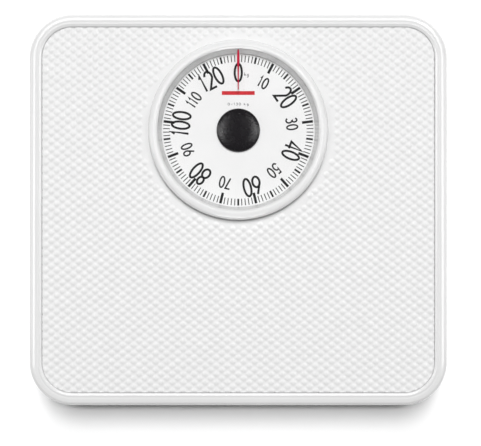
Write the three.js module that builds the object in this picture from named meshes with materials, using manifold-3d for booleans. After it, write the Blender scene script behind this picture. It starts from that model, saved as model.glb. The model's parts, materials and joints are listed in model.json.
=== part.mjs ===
// A mechanical bathroom scale with a round dial: a white enamelled platform rides on four lever
// pivots, the levers pull a calibrating plate down against two springs, and a bell crank and a
// rack turn that travel into one full turn of the dial.
// Millimetres. +X is to the user's right, +Y to the rear, +Z up. The origin is on the floor, under
// the middle of the platform.
import * as THREE from "three";
import { mergeVertices } from "three/addons/utils/BufferGeometryUtils.js";
import Module from "manifold-3d";

const wasm = await Module();
wasm.setup();

// ---- Driving dimensions -------------------------------------------------------------------

const GAP = 0.3; // air left between neighbouring pieces
const SHEET = 1.2; // pressed steel sheet
const STRIP = 1.5; // heavier strip of the brackets and of the calibrating plate

const PLATFORM = { halfWidth: 140, halfDepth: 131, radius: 29, skirtBottom: 20, rimTop: 44.5 };
const RIM_WIDTH = 7.7; // from the platform's outer edge to the mat
const FLOOR_TOP = 43; // the recessed floor that carries the mat
const FLOOR_BOTTOM = FLOOR_TOP - SHEET;
const MAT = { bottom: FLOOR_TOP + GAP, top: FLOOR_TOP + 1.3 };

const TRAY = { halfWidth: 132, halfDepth: 123, radius: 21, bottom: 5.3, wallTop: 24 };
const TRAY_FLOOR = TRAY.bottom + SHEET;
const ON_TRAY = TRAY_FLOOR + GAP; // where pieces that stand in the tray begin

const FOOT = { x: 112, y: 88, radius: 12, height: 5, neck: 4, head: 6.2 };

const DIAL = { y: 53.2, radius: 54, bottom: 42.2, top: 43, capRadius: 14.5, capTop: 46.8 };
const WINDOW = { hole: 56.2, ring: 60, ringTop: 52.5, lensBottom: 49.9, lensTop: 51.1, lens: 54.3 };
const POINTER = { root: 53, tip: 26.5, bottom: 49.3, top: 49.6 };

const GEAR = { module: 0.5, teeth: 10, bottom: 34.5, top: 37.5, addendum: 0.45, dedendum: 0.6 };
const PITCH_RADIUS = (GEAR.module * GEAR.teeth) / 2;
const TOOTH_PITCH = Math.PI * GEAR.module;
const PRESSURE_SLOPE = Math.tan(THREE.MathUtils.degToRad(20));
const SPINDLE = 1.4; // radius

const PIVOT_Z = 15.5; // height of every lever pin at rest
const PIVOT_Y = 112; // fulcrum pins, front and rear
const LOAD_ARM = 16; // from a fulcrum pin to its load pin
const PIVOT_X = 98;
const NOSE = { x: 10, y: 104, z: 22 }; // where the long lever carries the calibrating plate
const PIN = 1.5; // radius of the lever pins
const ARM_THICKNESS = 2;

const PLATE_Y = 104; // front face of the calibrating plate
const MAIN_SPRING = { x: 18, y: 112, radius: 5.2, bottom: 19.8, top: 34 };
const SCREW = { y: 117.2, radius: 2.4, bottom: 9, top: 38.8 };
const WHEEL = { radius: 11, bottom: 9, top: 14 };
const HANGER = { bottom: 34.3, top: 36.3 };

const BRIDGE = { bottom: 31, top: 32.2, halfWidth: 13, front: 20, rear: 101.5 };
const CRANK = { y: 90, z: 14.5, x: 3.7, thickness: 2, shortArm: 14, longArm: 22, start: 20.92 };
const RACK = { x: 8.5, front: 34, rear: 79, bottom: 34.8, top: 36.4 };
const HOLD_DOWN = { x: 104, radius: 3.2, bottom: 11.3, top: 36.7 };
const LUG = { halfWidth: 3, hole: 1, toHole: 1.7 }; // a tab that a hold-down spring hooks into

// The slotted ears of a pin bracket, and the flange that they are bent from.
const EAR = { offset: 5.95, halfDepth: 4, flangeHalfWidth: 9, flangeHalfDepth: 6 };
const FULCRUM_EAR_TOP = 18.6;
const LOAD_EAR_BOTTOM = 12.2;
const PIN_HALF_LENGTH = 7.6;
const WHEEL_SLOT = { halfWidth: 11.5, z: [8.4, 15] }; // in the tray's rear wall

// ---- Materials ----------------------------------------------------------------------------

function finish(color, roughness, metalness, opacity = 1) {
  return new THREE.MeshStandardMaterial({
    color,
    roughness,
    metalness,
    opacity,
    transparent: opacity < 1,
  });
}

const white = finish(0xefefee, 0.35, 0);
const matWhite = finish(0xf2f2f0, 0.6, 0);
const dialWhite = finish(0xf8f8f8, 0.5, 0);
const clear = finish(0xffffff, 0.05, 0, 0.25);
const black = finish(0x141414, 0.2, 0);
const red = finish(0xc4122f, 0.4, 0);
const rubber = finish(0x1c1c1c, 0.9, 0);
const steel = finish(0xb4b6b8, 0.35, 1);
const springSteel = finish(0x8f9294, 0.3, 1);
const brass = finish(0xc9a24b, 0.3, 1);
const nylon = finish(0x2a2a2c, 0.5, 0);

// ---- Solids: three.js shapes joined and cut with manifold-3d --------------------------------

// A closed geometry as a solid with its faces pointing out, whichever way its profile ran.
function solid(geometry) {
  const bare = new THREE.BufferGeometry();
  bare.setAttribute("position", geometry.getAttribute("position"));
  bare.setIndex(geometry.getIndex());
  const merged = mergeVertices(bare, 1e-4);
  const index = merged.getIndex().array;
  const triangles = [];
  for (let i = 0; i < index.length; i += 3) {
    const [a, b, c] = [index[i], index[i + 1], index[i + 2]];
    if (a !== b && b !== c && c !== a) triangles.push([a, b, c]);
  }
  const vertProperties = new Float32Array(merged.getAttribute("position").array);
  const build = (list) =>
    new wasm.Manifold(
      new wasm.Mesh({ numProp: 3, vertProperties, triVerts: new Uint32Array(list.flat()) }),
    );
  const made = build(triangles);
  return made.volume() < 0 ? build(triangles.map(([a, b, c]) => [a, c, b])) : made;
}

const join = (first, ...others) => others.reduce((all, next) => all.add(next), first);
const cut = (first, ...tools) => tools.reduce((left, tool) => left.subtract(tool), first);

function box([x0, x1], [y0, y1], [z0, z1]) {
  const geometry = new THREE.BoxGeometry(x1 - x0, y1 - y0, z1 - z0);
  return solid(geometry.translate((x0 + x1) / 2, (y0 + y1) / 2, (z0 + z1) / 2));
}

// A round bar about an axis along X, Y or Z: the two fixed coordinates, then where it runs.
function rodX(y, z, radius, [x0, x1], sides = 12) {
  const geometry = new THREE.CylinderGeometry(radius, radius, x1 - x0, sides).rotateZ(Math.PI / 2);
  return solid(geometry.translate((x0 + x1) / 2, y, z));
}

function rodY(x, z, radius, [y0, y1], sides = 12) {
  const geometry = new THREE.CylinderGeometry(radius, radius, y1 - y0, sides);
  return solid(geometry.translate(x, (y0 + y1) / 2, z));
}

function rodZ(x, y, radius, [z0, z1], sides = 16) {
  const geometry = new THREE.CylinderGeometry(radius, radius, z1 - z0, sides).rotateX(Math.PI / 2);
  return solid(geometry.translate(x, y, (z0 + z1) / 2));
}

// A profile of [radius, z] points turned about the upright line through (x, y).
function turned(x, y, profile, sides = 24) {
  const points = profile.map(([radius, z]) => new THREE.Vector2(radius, z));
  if (profile[0][0] > 0) points.push(points[0].clone());
  const geometry = new THREE.LatheGeometry(points, sides).rotateX(Math.PI / 2);
  return solid(geometry.translate(x, y, 0));
}

function tube(x, y, outer, inner, [z0, z1], sides = 16) {
  const profile = [
    [inner, z0],
    [outer, z0],
    [outer, z1],
    [inner, z1],
  ];
  return turned(x, y, profile, sides);
}

// A flat plate: an outline of [u, v] points, `thickness` deep, laid out on the frame
// (origin, u direction, v direction). It grows towards u cross v.
function plate(outline, thickness, origin, u, v) {
  const shape = new THREE.Shape(outline.map(([a, b]) => new THREE.Vector2(a, b)));
  const geometry = new THREE.ExtrudeGeometry(shape, { depth: thickness, bevelEnabled: false });
  const uDirection = new THREE.Vector3(...u).normalize();
  const vDirection = new THREE.Vector3(...v).normalize();
  const normal = uDirection.clone().cross(vDirection);
  const placed = new THREE.Matrix4().makeBasis(uDirection, vDirection, normal);
  return solid(geometry.applyMatrix4(placed.setPosition(...origin)));
}

const levelPlate = (outline, [z0, z1]) => plate(outline, z1 - z0, [0, 0, z0], [1, 0, 0], [0, 1, 0]);

// One level of a pressed shell: a rounded rectangle, `inset` in from its full size.
function roundedRing({ halfWidth, halfDepth, radius }, [inset, z], perCorner = 6) {
  const corner = radius - inset;
  const signs = [
    [1, 1],
    [-1, 1],
    [-1, -1],
    [1, -1],
  ];
  return signs.flatMap(([sideX, sideY], quarter) =>
    Array.from({ length: perCorner + 1 }, (_, i) => {
      const angle = ((quarter + i / perCorner) * Math.PI) / 2;
      return [
        sideX * (halfWidth - radius) + corner * Math.cos(angle),
        sideY * (halfDepth - radius) + corner * Math.sin(angle),
        z,
      ];
    }),
  );
}

// A solid through several such levels, given from the bottom up as [inset, z].
function pressed(size, levels) {
  const rings = levels.map((level) => roundedRing(size, level));
  const count = rings[0].length;
  const points = rings.flat();
  const last = (rings.length - 1) * count;
  const index = [];
  for (let i = 2; i < count; i++) {
    index.push(0, i, i - 1);
    index.push(last, last + i - 1, last + i);
  }
  for (let base = 0; base < last; base += count)
    for (let i = 0; i < count; i++) {
      const next = (i + 1) % count;
      index.push(base + i, base + next, base + count + next);
      index.push(base + i, base + count + next, base + count + i);
    }
  const geometry = new THREE.BufferGeometry();
  geometry.setAttribute("position", new THREE.Float32BufferAttribute(points.flat(), 3));
  geometry.setIndex(index);
  return solid(geometry);
}

const scale = new THREE.Group();

// Puts a solid in the scene as one named mesh.
function addPart(name, shape, material) {
  const { numProp, vertProperties, triVerts } = shape.getMesh();
  const geometry = new THREE.BufferGeometry();
  const interleaved = new THREE.InterleavedBuffer(vertProperties, numProp);
  geometry.setAttribute("position", new THREE.InterleavedBufferAttribute(interleaved, 3, 0));
  geometry.setIndex(new THREE.BufferAttribute(triVerts, 1));
  const flat = geometry.toNonIndexed();
  flat.computeVertexNormals();
  const mesh = new THREE.Mesh(flat, material);
  mesh.name = name;
  scale.add(mesh);
}

const SIDES = [
  { side: "left", sign: -1 },
  { side: "right", sign: 1 },
];
const ENDS = [
  { end: "front", away: -1 },
  { end: "rear", away: 1 },
];
const CORNERS = ENDS.flatMap((e) => SIDES.map((s) => ({ ...e, ...s, name: `${e.end}_${s.side}` })));

// ---- Base ---------------------------------------------------------------------------------

// A lug that a hold-down spring hooks into, from z0 to z1, with its hole at holeZ.
function springLug(sign, [z0, z1], holeZ) {
  const x = sign * HOLD_DOWN.x;
  const lug = box([x - LUG.halfWidth, x + LUG.halfWidth], [-SHEET / 2, SHEET / 2], [z0, z1]);
  return cut(lug, rodY(x, holeZ, LUG.hole, [-SHEET, SHEET], 8));
}

function baseTray() {
  const { bottom, wallTop } = TRAY;
  const outside = pressed(TRAY, [
    [1.5, bottom],
    [0, bottom + 2.2],
    [0, wallTop],
  ]);
  const inside = pressed(TRAY, [
    [SHEET + 0.5, TRAY_FLOOR],
    [SHEET, TRAY_FLOOR + 0.8],
    [SHEET, wallTop + 1],
  ]);
  const footHoles = CORNERS.map(({ sign, away }) =>
    rodZ(sign * FOOT.x, away * FOOT.y, FOOT.neck + GAP, [bottom - 1, TRAY_FLOOR + 1]),
  );
  const { halfWidth, z } = WHEEL_SLOT;
  const wheelSlot = box([-halfWidth, halfWidth], [TRAY.halfDepth - 2, TRAY.halfDepth + 1], z);
  const shell = cut(outside, inside, ...footHoles, wheelSlot);
  const lugTop = HOLD_DOWN.bottom - GAP;
  const lugs = SIDES.map(({ sign }) => springLug(sign, [TRAY_FLOOR - 0.4, lugTop], lugTop - LUG.toHole));
  return join(shell, ...lugs);
}

function foot({ sign, away }) {
  const { height, radius, neck, head } = FOOT;
  const headBottom = TRAY_FLOOR + GAP;
  const profile = [
    [0, 0],
    [radius - 1.5, 0],
    [radius, 1.5],
    [radius - 1, height],
    [neck, height],
    [neck, headBottom],
    [head, headBottom],
    [head - 1.2, headBottom + 2],
    [0, headBottom + 2],
  ];
  return turned(sign * FOOT.x, away * FOOT.y, profile, 16);
}

// A pressed bracket with two slotted ears that a lever pin lies in. Its flange is at flangeZ,
// its ears end at earEnd, and the slot is open at that end.
function pinBracket(x, y, [flange0, flange1], earEnd) {
  const up = earEnd > flange0;
  const seat = up ? PIVOT_Z - PIN - GAP : PIVOT_Z + PIN + GAP;
  const slotEnd = up ? earEnd + 1 : earEnd - 1;
  const earBase = up ? flange0 : flange1;
  const earZ = [Math.min(earBase, earEnd), Math.max(earBase, earEnd)];
  const slotZ = [Math.min(seat, slotEnd), Math.max(seat, slotEnd)];
  const { offset, halfDepth, flangeHalfWidth: wide, flangeHalfDepth: deep } = EAR;
  const slot = box([x - wide, x + wide], [y - PIN - GAP, y + PIN + GAP], slotZ);
  const ears = SIDES.map(({ sign }) => {
    const middle = x + sign * offset;
    const span = [middle - STRIP / 2, middle + STRIP / 2];
    return cut(box(span, [y - halfDepth, y + halfDepth], earZ), slot);
  });
  return join(box([x - wide, x + wide], [y - deep, y + deep], [flange0, flange1]), ...ears);
}

// ---- Levers -------------------------------------------------------------------------------

// Where an arm from a fulcrum pin to `end` lies at a given y.
function armX(end, fulcrumY, y) {
  return PIVOT_X + ((end.x - PIVOT_X) * (y - fulcrumY)) / (end.y - fulcrumY);
}

const JUNCTION = { x: armX(NOSE, -PIVOT_Y, 0), y: 0 }; // a short lever's tip, above the long arm
const LOAD_Y = PIVOT_Y - LOAD_ARM;
const LOAD_X = armX(NOSE, -PIVOT_Y, -LOAD_Y);

// One upright arm cut from plate. Its outline runs along the arm, with z as its height, and
// starts at the fulcrum pin.
function leverArm(sign, fulcrumY, end, outline) {
  const start = new THREE.Vector2(sign * PIVOT_X, fulcrumY);
  const along = new THREE.Vector2(sign * end.x, end.y).sub(start).normalize();
  const origin = [
    start.x - (along.y * ARM_THICKNESS) / 2,
    start.y + (along.x * ARM_THICKNESS) / 2,
    0,
  ];
  const arm = plate(outline, ARM_THICKNESS, origin, [along.x, along.y, 0], [0, 0, 1]);
  const loadY = fulcrumY - Math.sign(fulcrumY) * LOAD_ARM;
  const holes = [
    [sign * PIVOT_X, fulcrumY],
    [sign * LOAD_X, loadY],
  ].map(([x, y]) => rodX(y, PIVOT_Z, PIN + GAP, [x - 6, x + 6]));
  return cut(arm, ...holes);
}

// The long arm reaches from a front corner to the calibrating plate and ends in a narrow tongue.
function longArm(sign) {
  const run = Math.hypot(PIVOT_X - NOSE.x, PIVOT_Y + NOSE.y);
  const perY = run / (PIVOT_Y + NOSE.y);
  const shoulder = run - 1.4 * perY;
  const tongueEnd = run + 3.5 * perY;
  const outline = [
    [-5, PIVOT_Z - 3],
    [0, PIVOT_Z - 4],
    [shoulder, NOSE.z - 4],
    [shoulder, NOSE.z - 1],
    [tongueEnd, NOSE.z - 1],
    [tongueEnd, NOSE.z + 1],
    [shoulder, NOSE.z + 1],
    [shoulder, NOSE.z + 4],
    [0, PIVOT_Z + 4],
    [-5, PIVOT_Z + 3],
  ];
  return leverArm(sign, -PIVOT_Y, NOSE, outline);
}

// The short arm reaches from a rear corner to the long arm and stands on it with a small heel.
function shortArm(sign) {
  const run = Math.hypot(PIVOT_X - JUNCTION.x, PIVOT_Y);
  const heel = 23.2;
  const top = 31;
  const outline = [
    [-5, PIVOT_Z - 3],
    [0, PIVOT_Z - 4],
    [run - 6, heel + 1.4],
    [run - 2, heel + 1.4],
    [run - 1.2, heel],
    [run + 1.2, heel],
    [run + 2.5, heel + 2],
    [run + 2.5, top],
    [run - 8, top],
    [0, PIVOT_Z + 4],
    [-5, PIVOT_Z + 3],
  ];
  return leverArm(sign, PIVOT_Y, JUNCTION, outline);
}

const leverPin = (x, y) => rodX(y, PIVOT_Z, PIN, [x - PIN_HALF_LENGTH, x + PIN_HALF_LENGTH]);

function tieBar() {
  const [front, rear] = [60, 66];
  const reach = (y) => armX(NOSE, -PIVOT_Y, y) - ARM_THICKNESS / 2 - 2 * GAP;
  const outline = [
    [-reach(front), front],
    [reach(front), front],
    [reach(rear), rear],
    [-reach(rear), rear],
  ];
  return levelPlate(outline, [17, 19]);
}

// ---- Springs, calibrating plate and zero adjuster --------------------------------------------

function calibratingPlate() {
  const top = 30;
  const bottom = 17.5;
  const crankNotch = 21.8; // above the crank's arm
  const pinNotch = 20.8; // above the crank's pin
  const outline = [
    [-24, bottom],
    [0.2, bottom],
    [0.2, pinNotch],
    [3.4, pinNotch],
    [3.4, crankNotch],
    [6.1, crankNotch],
    [6.1, bottom],
    [24, bottom],
    [24, 24],
    [16, top],
    [-16, top],
    [-24, 24],
  ];
  const face = plate(outline, STRIP, [0, PLATE_Y + STRIP, 0], [1, 0, 0], [0, 0, 1]);
  const windows = SIDES.map(({ sign }) =>
    box([sign * NOSE.x - 1.9, sign * NOSE.x + 1.9], [PLATE_Y - 1, PLATE_Y + 3], [20.7, 25]),
  );
  const crankTab = box([0.6, 3.2], [PLATE_Y - 2.3, PLATE_Y + 0.5], [pinNotch, pinNotch + STRIP]);
  const springTabs = SIDES.map(({ sign }) => {
    const x = sign * MAIN_SPRING.x;
    const tab = box([x - 3.5, x + 3.5], [PLATE_Y + 0.5, MAIN_SPRING.y + 4.5], [18, 19.5]);
    return cut(tab, rodZ(x, MAIN_SPRING.y, 1.2, [17, 20], 8));
  });
  return join(cut(face, ...windows), crankTab, ...springTabs);
}

function mainSpring(sign) {
  const { x, y, radius, bottom, top } = MAIN_SPRING;
  return tube(sign * x, y, radius, radius - 1.4, [bottom, top]);
}

function holdDownSpring(sign) {
  const { x, radius, bottom, top } = HOLD_DOWN;
  return tube(sign * x, 0, radius, radius - 0.9, [bottom, top], 12);
}

function springHanger() {
  const { bottom, top } = HANGER;
  const bar = box([-24, 24], [106.5, SCREW.y + 2.7], [bottom, top]);
  const screwHole = rodZ(0, SCREW.y - 0.6, SCREW.radius + GAP, [bottom - 1, top + 1]);
  const nut = rodZ(0, SCREW.y, 5, [bottom, top], 6);
  const hooks = SIDES.map(({ sign }) =>
    rodZ(sign * MAIN_SPRING.x, MAIN_SPRING.y, 1.2, [bottom - 1, top + 1], 8),
  );
  const thread = rodZ(0, SCREW.y, SCREW.radius + GAP, [bottom - 1, top + 1]);
  const clear = box([-30, 30], [120, 130], [bottom - 1, top + 1]);
  return cut(join(cut(bar, screwHole), nut), thread, clear, ...hooks);
}

const adjustingScrew = () => rodZ(0, SCREW.y, SCREW.radius, [SCREW.bottom, SCREW.top]);

function zeroWheel() {
  return tube(0, SCREW.y, WHEEL.radius, SCREW.radius + GAP, [WHEEL.bottom, WHEEL.top], 24);
}

// A C-shaped bracket that holds the adjusting screw, with a window that the wheel reaches through.
function adjusterBracket() {
  const [backFront, backRear] = [120.2, 121.4];
  const back = box([-14, 14], [backFront, backRear], [ON_TRAY, 38.7]);
  const window = box([-11.4, 11.4], [backFront - 1, backRear + 1], WHEEL_SLOT.z);
  const footing = box([-13.4, 13.4], [114, backFront + 0.5], [ON_TRAY, ON_TRAY + SHEET]);
  const shelves = [15.5, 37.5].map((z) =>
    cut(
      box([-8, 8], [112.5, backFront + 0.5], [z, z + SHEET]),
      rodZ(0, SCREW.y, SCREW.radius + GAP, [z - 1, z + 2]),
    ),
  );
  return join(cut(back, window), footing, ...shelves);
}

// ---- Bridge, bell crank and rack ---------------------------------------------------------------

function bridgePlate() {
  const { bottom, top, halfWidth, front, rear } = BRIDGE;
  const strip = box([-halfWidth, halfWidth], [front, rear], [bottom, top]);
  const bushHole = rodZ(0, DIAL.y, 4 + GAP, [bottom - 1, top + 1]);
  const studHole = rodZ(10, DIAL.y, 1.5 + GAP, [bottom - 1, top + 1]);
  const crankSlot = box([3.1, 6.3], [80.5, rear + 1], [bottom - 1, top + 1]);
  const anchor = box([4, 8], [front, front + SHEET], [bottom, 38]);
  const anchorHole = rodY(6, RACK.bottom + 0.8, 0.9, [front - 1, front + 3], 8);
  return join(cut(strip, bushHole, studHole, crankSlot), cut(anchor, anchorHole));
}

function bridgeFrontLeg() {
  const legFront = 26.8;
  const leg = box([-13, 13], [legFront, legFront + SHEET], [ON_TRAY, BRIDGE.bottom - GAP]);
  const lightening = box([-6, 6], [legFront - 1, legFront + 3], [13, 24]);
  const footing = box([-13, 13], [20, legFront + SHEET], [ON_TRAY, ON_TRAY + SHEET]);
  const seat = box([-13, 13], [20, legFront + SHEET], [29.5, BRIDGE.bottom - GAP]);
  return join(cut(leg, lightening), footing, seat);
}

function crankBracket() {
  const [front, rear] = [84, 96];
  const ears = [1, 7.2].map((x) =>
    box([x, x + SHEET], [front, rear], [ON_TRAY, BRIDGE.bottom - GAP]),
  );
  const hole = rodX(CRANK.y, CRANK.z, PIN + GAP, [-1, 11]);
  const footing = box([-4, 11], [front, rear], [ON_TRAY, ON_TRAY + SHEET]);
  return join(cut(join(...ears), hole), footing);
}

const crankPin = () => rodX(CRANK.y, CRANK.z, PIN, [-0.6, 10.4]);

// The bell crank: a short arm to the rear under the calibrating plate's tab, and a long arm up
// through the bridge to the rack. At rest it is turned back by half of its swing.
function bellCrank() {
  const { y, z, x, thickness, shortArm: short, longArm: long } = CRANK;
  const tilt = THREE.MathUtils.degToRad(CRANK.start);
  const rearTip = [y + short * Math.cos(tilt), z + short * Math.sin(tilt)];
  const topTip = [y - long * Math.sin(tilt), z + long * Math.cos(tilt)];
  const span = [x, x + thickness];
  const arm = ([tipY, tipZ], hubHalf, tipHalf) => {
    const along = new THREE.Vector2(tipY - y, tipZ - z);
    const length = along.length();
    along.normalize();
    const outline = [
      [0, -hubHalf],
      [length, -tipHalf],
      [length, tipHalf],
      [0, hubHalf],
    ];
    const bar = plate(outline, thickness, [x, y, z], [0, along.x, along.y], [0, -along.y, along.x]);
    return join(bar, rodX(tipY, tipZ, tipHalf, span));
  };
  const hub = rodX(y, z, 4, span, 16);
  const rearPin = rodX(...rearTip, 1, [0.8, x + 0.5]);
  const topPin = rodX(...topTip, 1, [x + 0.5, 9.4]);
  const blank = join(hub, arm(rearTip, 3, 1.4), arm(topTip, 3, 2), rearPin, topPin);
  return cut(blank, rodX(y, z, PIN + GAP, [0, 10]));
}

// One rack tooth at the rack's own y = 0, pointing to -X, grown by `grow` on every face.
function rackTooth(grow, [z0, z1]) {
  const half = TOOTH_PITCH / 4 - 0.03 + grow;
  const tip = PITCH_RADIUS - GEAR.addendum - grow;
  const root = PITCH_RADIUS + GEAR.dedendum + 0.5;
  const halfAt = (x) => half + (x - PITCH_RADIUS) * PRESSURE_SLOPE;
  const outline = [
    [tip, -halfAt(tip)],
    [root, -halfAt(root)],
    [root, halfAt(root)],
    [tip, halfAt(tip)],
  ];
  return levelPlate(outline, [z0, z1]);
}

function rack() {
  const { x, front, rear, bottom, top } = RACK;
  const bar = box([PITCH_RADIUS + GEAR.dedendum, x], [front, rear], [bottom, top]);
  const springHole = rodZ(6, front + 2, 0.9, [bottom - 1, top + 1], 8);
  const teeth = [];
  for (let i = -12; i <= 3; i++)
    teeth.push(rackTooth(0, [bottom, top]).translate([0, DIAL.y + i * TOOTH_PITCH, 0]));
  const tab = box([7, x], [rear - 1, rear + 7], [33, 38.5]);
  const pinY = CRANK.y - CRANK.longArm * Math.sin(THREE.MathUtils.degToRad(CRANK.start));
  const slot = box([6, x + 1], [pinY - 1.3, pinY + 1.3], [33.8, 37.7]);
  return join(cut(join(cut(bar, springHole), tab), slot), ...teeth);
}

function rackSpring() {
  const { front, bottom } = RACK;
  const middle = bottom + 0.8;
  const outer = rodY(6, middle, 1.8, [BRIDGE.front + SHEET + GAP, front - GAP], 10);
  return cut(outer, rodY(6, middle, 1.1, [BRIDGE.front, front + 1], 10));
}

function rackGuide() {
  const profile = [
    [0, BRIDGE.bottom - 1],
    [1.5, BRIDGE.bottom - 1],
    [1.5, BRIDGE.top + GAP],
    [2.4, BRIDGE.top + GAP],
    [2.4, RACK.bottom - GAP],
    [1.2, RACK.bottom - GAP],
    [1.2, RACK.top + GAP],
    [2.4, RACK.top + GAP],
    [2.4, RACK.top + 1.3],
    [0, RACK.top + 1.3],
  ];
  return turned(10, DIAL.y, profile, 12);
}

// ---- Dial ---------------------------------------------------------------------------------

function dialBush() {
  const profile = [
    [SPINDLE + GAP, 25],
    [4, 25],
    [4, BRIDGE.top + GAP],
    [6, BRIDGE.top + GAP],
    [6, BRIDGE.top + 1.3],
    [SPINDLE + GAP, BRIDGE.top + 1.3],
  ];
  return turned(0, DIAL.y, profile, 16);
}

// The spindle with its pinion: a disc rolled past the rack, which cuts the gaps between its teeth.
function pinionShaft() {
  const gearZ = [GEAR.bottom, GEAR.top];
  const cutZ = [GEAR.bottom - 1, GEAR.top + 1];
  const cutter = rackTooth(0.1, cutZ);
  const swaths = [];
  for (let degrees = -36; degrees <= 36; degrees += 12) {
    const rolled = PITCH_RADIUS * THREE.MathUtils.degToRad(degrees);
    swaths.push(cutter.translate([0, rolled, 0]).rotate([0, 0, -degrees]));
  }
  const toothGap = join(...swaths);
  const gaps = [];
  for (let i = 0; i < GEAR.teeth; i++) gaps.push(toothGap.rotate([0, 0, (360 / GEAR.teeth) * i]));
  const gear = cut(rodZ(0, 0, PITCH_RADIUS + GEAR.addendum, gearZ, 40), ...gaps);
  const shaft = rodZ(0, 0, SPINDLE, [24.4, DIAL.top - 0.1], 12);
  const collar = rodZ(0, 0, 2.6, [23.6, 24.7], 12);
  return join(gear, shaft, collar).translate([0, DIAL.y, 0]);
}

function dialHub() {
  const profile = [
    [SPINDLE + GAP, 38.2],
    [4, 38.2],
    [4, 40.4],
    [12, 40.7],
    [12, DIAL.bottom - GAP],
    [SPINDLE + GAP, DIAL.bottom - GAP],
  ];
  return turned(0, DIAL.y, profile, 20);
}

const dialDisc = () => tube(0, DIAL.y, DIAL.radius, SPINDLE + GAP, [DIAL.bottom, DIAL.top], 48);

function hubCap() {
  const { capRadius, capTop, top } = DIAL;
  const seat = top + GAP;
  const side = seat + 1;
  const dome = [20, 40, 60, 80].map((degrees) => {
    const angle = THREE.MathUtils.degToRad(degrees);
    return [capRadius * Math.cos(angle), side + (capTop - side) * Math.sin(angle)];
  });
  const profile = [[0, seat], [capRadius, seat], [capRadius, side], ...dome, [0, capTop]];
  return turned(0, DIAL.y, profile, 24);
}

// ---- Platform -----------------------------------------------------------------------------

function platformShell() {
  const { skirtBottom, rimTop } = PLATFORM;
  const outside = pressed(PLATFORM, [
    [0, skirtBottom],
    [0, 41],
    [0.8, 43.6],
    [2.5, rimTop],
  ]);
  const recess = pressed(PLATFORM, [
    [RIM_WIDTH, FLOOR_TOP],
    [RIM_WIDTH - 0.8, rimTop],
    [RIM_WIDTH - 1, rimTop + 1],
  ]);
  const underside = pressed(PLATFORM, [
    [SHEET, skirtBottom - 1],
    [SHEET, 40.8],
    [2.2, FLOOR_BOTTOM],
  ]);
  const underRim = [FLOOR_BOTTOM - 1, rimTop - SHEET];
  const rimHollow = cut(
    pressed(PLATFORM, underRim.map((z) => [2.8, z])),
    pressed(PLATFORM, underRim.map((z) => [RIM_WIDTH - 1.8, z])),
  );
  const dialHole = rodZ(0, DIAL.y, WINDOW.hole, [FLOOR_BOTTOM - 5, FLOOR_TOP + 5], 36);
  const lugBottom = HOLD_DOWN.top + GAP;
  const lugs = SIDES.map(({ sign }) =>
    springLug(sign, [lugBottom, FLOOR_BOTTOM + 0.4], lugBottom + LUG.toHole),
  );
  return join(cut(outside, recess, underside, rimHollow, dialHole), ...lugs);
}

function mat() {
  const edge = RIM_WIDTH + GAP;
  const sheet = pressed(PLATFORM, [
    [edge, MAT.bottom],
    [edge, MAT.top],
  ]);
  return cut(sheet, rodZ(0, DIAL.y, WINDOW.ring + GAP, [MAT.bottom - 1, MAT.top + 1], 36));
}

// The moulded ring round the dial, with a groove for the lens and a sleeve through the platform.
function bezelRing() {
  const { ring, ringTop, lens, lensBottom, lensTop } = WINDOW;
  const seat = FLOOR_TOP + GAP;
  const groove = lens + GAP;
  const lip = lens - 0.9; // holds the lens from above and below
  const profile = [
    [54.8, 39],
    [55.8, 39],
    [55.8, seat],
    [ring, seat],
    [ring, 45.5],
    [59.2, 50.6],
    [57.5, ringTop - 0.3],
    [55.2, ringTop],
    [54.2, ringTop - 0.3],
    [lip, lensTop + GAP],
    [groove, lensTop + GAP],
    [groove, lensBottom - GAP],
    [lip, lensBottom - GAP],
    [51.2, 44],
    [54.8, 44],
  ];
  return turned(0, DIAL.y, profile, 36);
}

const bezelRetainer = () => tube(0, DIAL.y, 62, 56.2, [40.2, FLOOR_BOTTOM - GAP], 36);

const lens = () => rodZ(0, DIAL.y, WINDOW.lens, [WINDOW.lensBottom, WINDOW.lensTop], 36);

// The red index, bonded under the lens: widest near the scale marks, with a point at each end.
function pointer() {
  const outline = [
    [-0.35, POINTER.tip],
    [0.35, POINTER.tip],
    [0.8, 46],
    [0.7, 49],
    [0.35, POINTER.root],
    [-0.35, POINTER.root],
    [-0.7, 49],
    [-0.8, 46],
  ].map(([x, y]) => [x, y + DIAL.y]);
  return levelPlate(outline, [POINTER.bottom, POINTER.top]);
}

// ---- Assembly -------------------------------------------------------------------------------

addPart("base_tray", baseTray(), white);
for (const corner of CORNERS) {
  const { name, sign, away } = corner;
  const [fulcrumX, fulcrumY] = [sign * PIVOT_X, away * PIVOT_Y];
  const [loadX, loadY] = [sign * LOAD_X, away * LOAD_Y];
  addPart(`foot_${name}`, foot(corner), rubber);
  addPart(
    `fulcrum_bracket_${name}`,
    pinBracket(fulcrumX, fulcrumY, [ON_TRAY, ON_TRAY + SHEET], FULCRUM_EAR_TOP),
    steel,
  );
  addPart(
    `load_bracket_${name}`,
    pinBracket(loadX, loadY, [FLOOR_BOTTOM - GAP - SHEET, FLOOR_BOTTOM - GAP], LOAD_EAR_BOTTOM),
    steel,
  );
  addPart(`fulcrum_pin_${name}`, leverPin(fulcrumX, fulcrumY), springSteel);
  addPart(`load_pin_${name}`, leverPin(loadX, loadY), springSteel);
}
for (const { side, sign } of SIDES) {
  addPart(`long_lever_arm_${side}`, longArm(sign), steel);
  addPart(`short_lever_arm_${side}`, shortArm(sign), steel);
  addPart(`main_spring_${side}`, mainSpring(sign), springSteel);
  addPart(`hold_down_spring_${side}`, holdDownSpring(sign), springSteel);
}
addPart("long_lever_tie_bar", tieBar(), steel);
addPart("calibrating_plate", calibratingPlate(), steel);
addPart("spring_hanger", springHanger(), steel);
addPart("adjusting_screw", adjustingScrew(), springSteel);
addPart("zero_wheel", zeroWheel(), nylon);
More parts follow.
